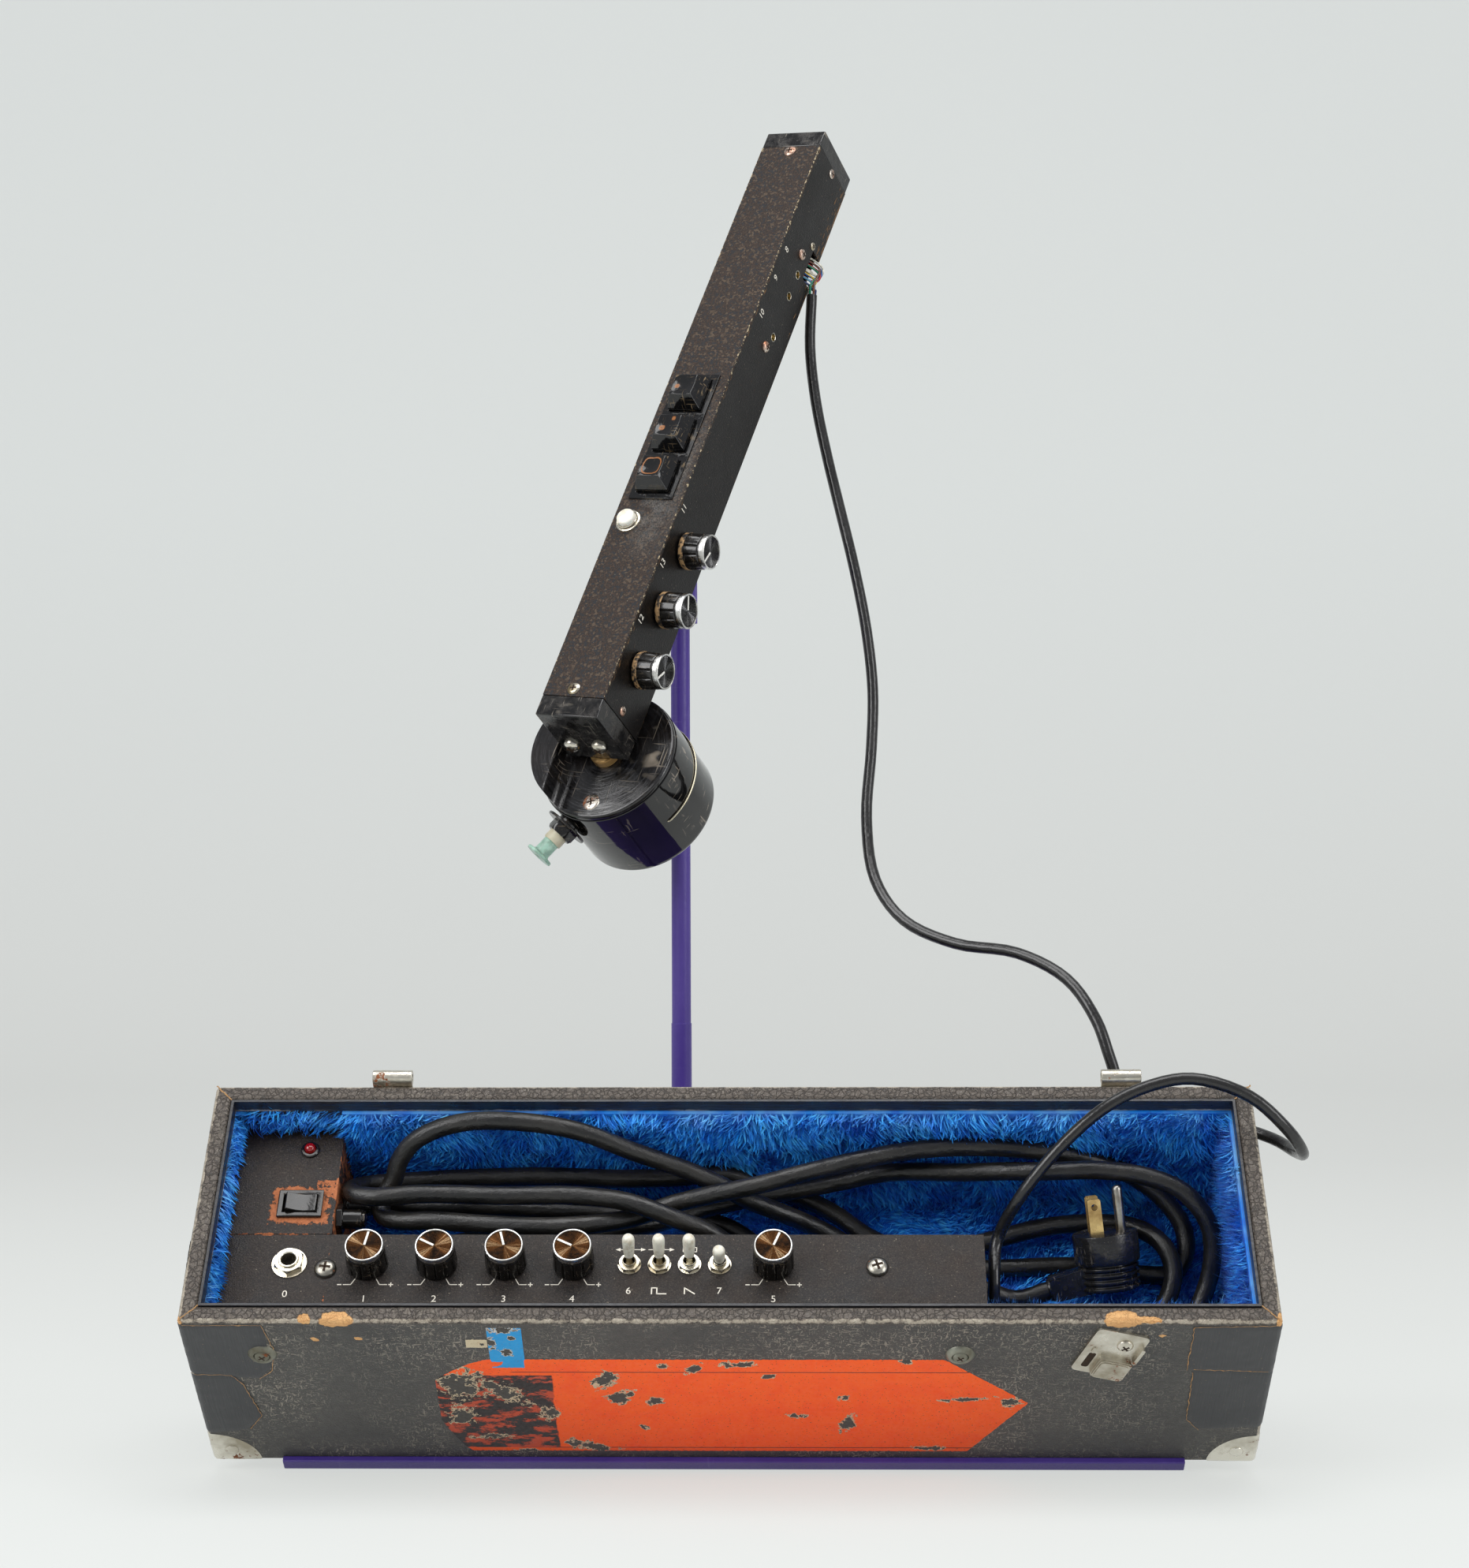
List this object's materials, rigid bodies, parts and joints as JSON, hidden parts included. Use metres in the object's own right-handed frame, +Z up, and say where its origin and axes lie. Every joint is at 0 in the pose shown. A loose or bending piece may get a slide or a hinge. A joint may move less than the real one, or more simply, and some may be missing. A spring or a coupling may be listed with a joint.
{
  "type": "breath-controlled electronic valve instrument",
  "caption": "Hand-held valve-key breath controller with a rotating octave drum, cabled to a knob-and-switch synthesizer unit in an open fur-lined carrying case on a sloping stand.",
  "frame": {"origin": "middle of the underside of the stand's base plate", "axes": "+Z up, +X to the viewer's right along the case, +Y to the back"},
  "size_m": [0.5156, 0.3394, 0.6793],
  "materials": {
    "vinyl": "dark grey-brown crackled vinyl",
    "board": "bare plywood",
    "binding": "black rubber binding",
    "fur": "bright blue long-pile fake fur",
    "plated_steel": "dull worn plated steel",
    "panel_paint": "dark brown-black textured enamel, chipped to rust",
    "screw_steel": "zinc-plated",
    "circuit_board": "green laminate",
    "switch_metal": "nickel-plated, satin",
    "lever_cap": "ivory",
    "lamp": "red lens",
    "black_plastic": "black",
    "transformer_iron": "varnished laminations",
    "knob_plastic": "black fluted skirt with a bright rim",
    "wand_paint": "brown texture paint",
    "wand_black": "gloss black enamel, worn at the edges",
    "end_block": "black, rubbed",
    "key_plastic": "black",
    "button_plastic": "off-white",
    "trimmer_brass": "brass",
    "canister_black": "black",
    "axle_brass": "dull brass",
    "wire": "cream-covered wire",
    "fitting_green": "cream and pale green plastic",
    "stand_purple": "purple powder coat",
    "cord_rubber": "black rubber",
    "conductors": "coloured insulation"
  },
  "bodies": {
    "instrument": {"case_front": "vinyl", "case_back": "vinyl", "case_sides": "vinyl", "floor_boards": "board", "rim_band": "binding", "fur_lining": "fur", "corner_caps": "plated_steel", "hinge_leaves": "plated_steel", "front_hardware": "plated_steel", "control_panel": "panel_paint", "power_box": "panel_paint", "panel_screws": "screw_steel", "main_board": "circuit_board", "toggle_switches": "switch_metal", "signal_jack": "switch_metal", "indicator_light": "lamp", "rocker_bezel": "black_plastic", "transformer": "transformer_iron", "cord_gland": "cord_rubber", "fuse_holder": "black_plastic", "wand_front": "wand_paint", "wand_back": "wand_black", "wand_end_blocks": "end_block", "wand_screws": "screw_steel", "wand_board": "circuit_board", "key_frame": "key_plastic", "button_bush": "switch_metal", "canister_plate": "canister_black", "thumb_block": "canister_black", "canister_axle": "axle_brass", "stand_base": "stand_purple", "stand_deck": "stand_purple", "stand_pole": "stand_purple", "power_cord": "cord_rubber", "mains_plug": "black_plastic", "wand_cable": "cord_rubber", "wand_conductors": "conductors"},
    "volume_knob": {"volume_knob": "knob_plastic"},
    "breath_knob": {"breath_knob": "knob_plastic"},
    "resonance_knob": {"resonance_knob": "knob_plastic"},
    "detune_knob": {"detune_knob": "knob_plastic"},
    "tuning_knob": {"tuning_knob": "knob_plastic"},
    "toggle_lever_1": {"toggle_lever_1": "lever_cap"},
    "toggle_lever_2": {"toggle_lever_2": "lever_cap"},
    "toggle_lever_3": {"toggle_lever_3": "lever_cap"},
    "toggle_lever_4": {"toggle_lever_4": "lever_cap"},
    "power_rocker": {"power_rocker": "black_plastic"},
    "valve_key_1": {"valve_key_1": "key_plastic"},
    "valve_key_2": {"valve_key_2": "key_plastic"},
    "valve_key_3": {"valve_key_3": "key_plastic"},
    "push_button": {"push_button": "button_plastic"},
    "wand_knob_1": {"wand_knob_1": "knob_plastic"},
    "wand_knob_2": {"wand_knob_2": "knob_plastic"},
    "wand_knob_3": {"wand_knob_3": "knob_plastic"},
    "trimmer_1": {"trimmer_1": "trimmer_brass"},
    "trimmer_2": {"trimmer_2": "trimmer_brass"},
    "trimmer_3": {"trimmer_3": "trimmer_brass"},
    "drum": {"octave_drum": "canister_black", "touch_wire": "wire", "breath_fitting": "fitting_green"}
  },
  "joints": [
    {"name": "volume_knob_turn", "type": "hinge", "parent": "instrument", "child": "volume_knob", "pos_m": [-0.1667, -0.17444, 0.10298], "axis": [0, -0.7218, 0.6921], "range_deg": [-140, 160]},
    {"name": "breath_knob_turn", "type": "hinge", "parent": "instrument", "child": "breath_knob", "pos_m": [-0.1346, -0.17444, 0.10298], "axis": [0, -0.7218, 0.6921], "range_deg": [-212, 88]},
    {"name": "resonance_knob_turn", "type": "hinge", "parent": "instrument", "child": "resonance_knob", "pos_m": [-0.1028, -0.17444, 0.10298], "axis": [0, -0.7218, 0.6921], "range_deg": [-165, 135]},
    {"name": "detune_knob_turn", "type": "hinge", "parent": "instrument", "child": "detune_knob", "pos_m": [-0.0716, -0.17444, 0.10298], "axis": [0, -0.7218, 0.6921], "range_deg": [-213, 87]},
    {"name": "tuning_knob_turn", "type": "hinge", "parent": "instrument", "child": "tuning_knob", "pos_m": [0.02, -0.17444, 0.10298], "axis": [0, -0.7218, 0.6921], "range_deg": [-128, 172]},
    {"name": "toggle_lever_1_flip", "type": "hinge", "parent": "instrument", "child": "toggle_lever_1", "pos_m": [-0.0461, -0.175, 0.10311], "axis": [1, 0, 0], "range_deg": [0, 24]},
    {"name": "toggle_lever_2_flip", "type": "hinge", "parent": "instrument", "child": "toggle_lever_2", "pos_m": [-0.0323, -0.175, 0.10311], "axis": [1, 0, 0], "range_deg": [0, 24]},
    {"name": "toggle_lever_3_flip", "type": "hinge", "parent": "instrument", "child": "toggle_lever_3", "pos_m": [-0.0185, -0.175, 0.10311], "axis": [1, 0, 0], "range_deg": [0, 24]},
    {"name": "toggle_lever_4_flip", "type": "hinge", "parent": "instrument", "child": "toggle_lever_4", "pos_m": [-0.0047, -0.175, 0.10311], "axis": [1, 0, 0], "range_deg": [-24, 0]},
    {"name": "power_rocker_tip", "type": "hinge", "parent": "instrument", "child": "power_rocker", "pos_m": [-0.2014, -0.15058, 0.12583], "axis": [0, 0.6921, 0.7218], "range_deg": [-16, 0]},
    {"name": "valve_key_1_press", "type": "slide", "parent": "instrument", "child": "valve_key_1", "axis": [0.3625, 0.7686, -0.5271], "range_m": [0, 0.0035], "stiffness_N_per_m": 180, "springref_m": -0.002},
    {"name": "valve_key_2_press", "type": "slide", "parent": "instrument", "child": "valve_key_2", "axis": [0.3625, 0.7686, -0.5271], "range_m": [0, 0.0035], "stiffness_N_per_m": 180, "springref_m": -0.002},
    {"name": "valve_key_3_press", "type": "slide", "parent": "instrument", "child": "valve_key_3", "axis": [0.3625, 0.7686, -0.5271], "range_m": [0, 0.0035], "stiffness_N_per_m": 180, "springref_m": -0.002},
    {"name": "push_button_press", "type": "slide", "parent": "instrument", "child": "push_button", "axis": [0.3625, 0.7686, -0.5271], "range_m": [0, 0.002], "stiffness_N_per_m": 250, "springref_m": -0.0015},
    {"name": "wand_knob_1_turn", "type": "hinge", "parent": "instrument", "child": "wand_knob_1", "pos_m": [-0.04678, -0.06292, 0.37967], "axis": [0.8823, -0.4652, -0.0715], "range_deg": [-300, 0]},
    {"name": "wand_knob_2_turn", "type": "hinge", "parent": "instrument", "child": "wand_knob_2", "pos_m": [-0.03587, -0.04696, 0.41045], "axis": [0.8823, -0.4652, -0.0715], "range_deg": [-185, 115]},
    {"name": "wand_knob_3_turn", "type": "hinge", "parent": "instrument", "child": "wand_knob_3", "pos_m": [-0.02496, -0.031, 0.44123], "axis": [0.8823, -0.4652, -0.0715], "range_deg": [-135, 165]},
    {"name": "trimmer_1_turn", "type": "hinge", "parent": "instrument", "child": "trimmer_1", "pos_m": [0.01949, 0.03512, 0.55958], "axis": [0.8823, -0.4652, -0.0715], "range_deg": [-135, 135]},
    {"name": "trimmer_2_turn", "type": "hinge", "parent": "instrument", "child": "trimmer_2", "pos_m": [0.02783, 0.0473, 0.58326], "axis": [0.8823, -0.4652, -0.0715], "range_deg": [-135, 135]},
    {"name": "trimmer_3_turn", "type": "hinge", "parent": "instrument", "child": "trimmer_3", "pos_m": [0.03251, 0.05423, 0.59584], "axis": [0.8823, -0.4652, -0.0715], "range_deg": [-135, 135]},
    {"name": "drum_turn", "type": "hinge", "parent": "instrument", "child": "drum", "pos_m": [-0.06257, -0.05088, 0.3358], "axis": [0.3625, 0.7686, -0.5271], "range_deg": [-90, 90]}
  ]
}
